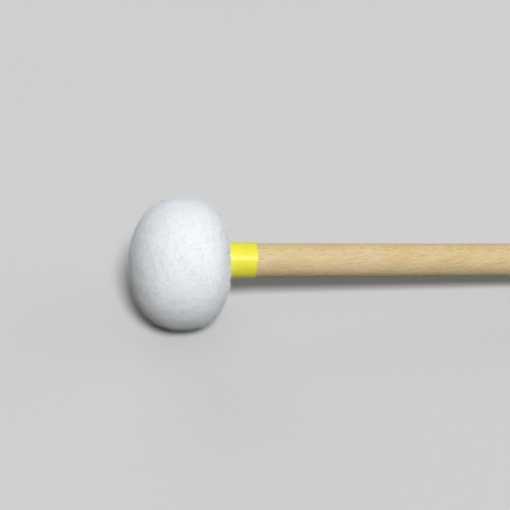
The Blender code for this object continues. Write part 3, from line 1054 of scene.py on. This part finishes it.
# %% [markdown]
# Pale maple shows three things. Growth rings run nearly along the stick, because it was sawn from a
# straight board, so they are part of large circles whose centre lies far outside it. Here the centre
# is an axis 50 mm away, tilted by a few degrees, and the rings come out as long, faint bands that
# rise slowly along the handle. Rays show as many short flecks, a few millimetres long. Fine fibre
# lines cover everything. The lacquer is satin, a little uneven, and thin enough to let the flecks be
# felt.

# %% Growth rings of the maple
maple, maple_place = mallet_finish("lacquered maple")
grain_turn = (0.0, math.radians(-3.5), math.radians(3.0))
fleck_turn = (0.0, math.radians(-8.0), math.radians(6.5))
figure_turn = (0.0, math.radians(-17), math.radians(14))
pith_start = (0.0, 38 * mm, -34 * mm)
ring_width = 1.9 * mm
ring_wander = 2.0 * mm
board = drawn_out(maple, maple_place, (1, 1, 1), grain_turn, pith_start)
board_cross = add(maple, "VectorMath", {0: board, 1: (0, 1, 1)}, operation="MULTIPLY").outputs[0]
from_pith = add(maple, "VectorMath", {0: board_cross}, operation="LENGTH").outputs["Value"]
ring_drift = streaky(maple, maple_place, 60 * mm, 9 * mm, grain_turn)
ring_place = sums(maple, "MULTIPLY_ADD", ring_drift, ring_wander, from_pith)
ring_phase = sums(maple, "FRACT", sums(maple, "MULTIPLY", ring_place, 1 / ring_width))
ring_line = spread(maple, ring_phase, 0.45, 1.0)
ring_line = sums(maple, "MULTIPLY", ring_line, spread(maple, ring_phase, 1.0, 0.93))
print("nodes for the growth rings:", len(maple.node_tree.nodes))

# %% [markdown]
# The flecks and lines are all the same soft noise, drawn out to their own length and width. A narrow
# range of it is kept for the flecks, so that they end softly.

# %% Flecks, fine lines and figure
pale_start, zone_start = (0.3, 0.2, 0.1), (0.5, 0, 0)
dark_noise = streaky(maple, maple_place, 8 * mm, 0.28 * mm, fleck_turn, detail=0.0)
dark_flecks = spread(maple, dark_noise, 0.615, 0.735)
pale_noise = streaky(maple, maple_place, 8 * mm, 0.34 * mm, fleck_turn, pale_start, detail=0.0)
pale_flecks = spread(maple, pale_noise, 0.615, 0.75)
fine_lines = streaky(maple, maple_place, 14 * mm, 0.24 * mm, grain_turn)
figure = streaky(maple, maple_place, 26 * mm, 7 * mm, figure_turn)
zone = streaky(maple, maple_place, 22 * mm, 14 * mm, figure_turn, zone_start)
print("nodes with flecks and lines:", len(maple.node_tree.nodes))

# %% [markdown]
# The colours are laid over each other like stains: each layer has a share, from 0 where it doesn't
# show to its strength where it is full.

# %% Maple colours
light_maple = (0.685, 0.547, 0.312, 1)
maple_body = (0.630, 0.476, 0.242, 1)
pinkish_maple = (0.710, 0.528, 0.342, 1)
ring_brown = (0.540, 0.365, 0.160, 1)
fleck_brown = (0.430, 0.275, 0.110, 1)
fleck_pale = (0.780, 0.650, 0.405, 1)
maple_layers = (
    (spread(maple, zone, 0.4, 0.65, 0.0, 0.6), pinkish_maple),
    (sums(maple, "MULTIPLY", ring_line, 0.25), ring_brown),
    (spread(maple, fine_lines, 0.35, 0.75, 0.0, 0.22), ring_brown),
    (sums(maple, "MULTIPLY", dark_flecks, 0.62), fleck_brown),
    (sums(maple, "MULTIPLY", pale_flecks, 0.5), fleck_pale),
)
maple_colour = tint(maple, spread(maple, figure, 0.3, 0.7), light_maple, maple_body)
for share, colour in maple_layers:
    maple_colour = tint(maple, share, maple_colour, colour)
maple_rough = spread(maple, figure, 0.3, 0.7, 0.38, 0.48)
maple_bump = relief(maple, fine_lines, 0.01 * mm, 0.2)
maple_bump = relief(maple, dark_flecks, -0.008 * mm, 0.3, maple_bump)
dress(maple, Base_Color=maple_colour, Roughness=maple_rough, Normal=maple_bump)
dress(maple, Coat_Weight=0.03, Coat_Roughness=0.35, Specular_IOR_Level=0.06)
keep(handle, maple, ["handle"])

# %% [markdown]
# ## What is inside the head
#
# The core, the felt pads, the washer and the screw are hidden, but somebody who opens the model sees
# them, so they get real finishes too. Their solids are right as they are, and only their materials
# change: plain turned birch, grey pressed felt, and zinc-plated steel.

# %% Inner finishes
birch, birch_place = mallet_finish("turned birch")
birch_rings = streaky(birch, birch_place, 16 * mm, 1.1 * mm, detail=3.0)
turning_marks = streaky(birch, birch_place, 0.4 * mm, 25 * mm, detail=1.0)
birch_colour = tint(birch, birch_rings, (0.68, 0.52, 0.33, 1), (0.54, 0.38, 0.21, 1))
birch_bump = relief(birch, turning_marks, 0.04 * mm, 0.5)
dress(birch, Base_Color=birch_colour, Normal=birch_bump, Roughness=0.62)

grey_felt, pad_place = mallet_finish("firm grey felt")
pad_fibres = fibre_lines(grey_felt, pad_place, 0.9 * mm, 0.08, 2 * mm, 2 * mm)
pad_colour = tint(grey_felt, pad_fibres, (0.40, 0.40, 0.385, 1), (0.52, 0.52, 0.50, 1))
dress(grey_felt, Base_Color=pad_colour, Normal=relief(grey_felt, pad_fibres, 0.05 * mm))
dress(grey_felt, Roughness=0.95, Sheen_Weight=0.2, Specular_IOR_Level=0.1)

steel, steel_place = mallet_finish("zinc plated steel")
steel_spangle = cloudy(steel, steel_place, 0.7 * mm, detail=4.0)
steel_colour = tint(steel, steel_spangle, (0.60, 0.61, 0.63, 1), (0.50, 0.51, 0.54, 1))
steel_rough = spread(steel, steel_spangle, 0.3, 0.7, 0.28, 0.45)
dress(steel, Base_Color=steel_colour, Roughness=steel_rough, Metallic=1.0)

inner_finishes = {
    "core": birch,
    "liner": grey_felt,
    "tip_pad": grey_felt,
    "back_pad": grey_felt,
    "retaining_washer": steel,
    "retaining_screw": steel,
}
for node_name, finish in inner_finishes.items():
    for holder in frame["nodes"][node_name].material_slots:
        holder.material = finish
print("finished inside:", ", ".join(inner_finishes))
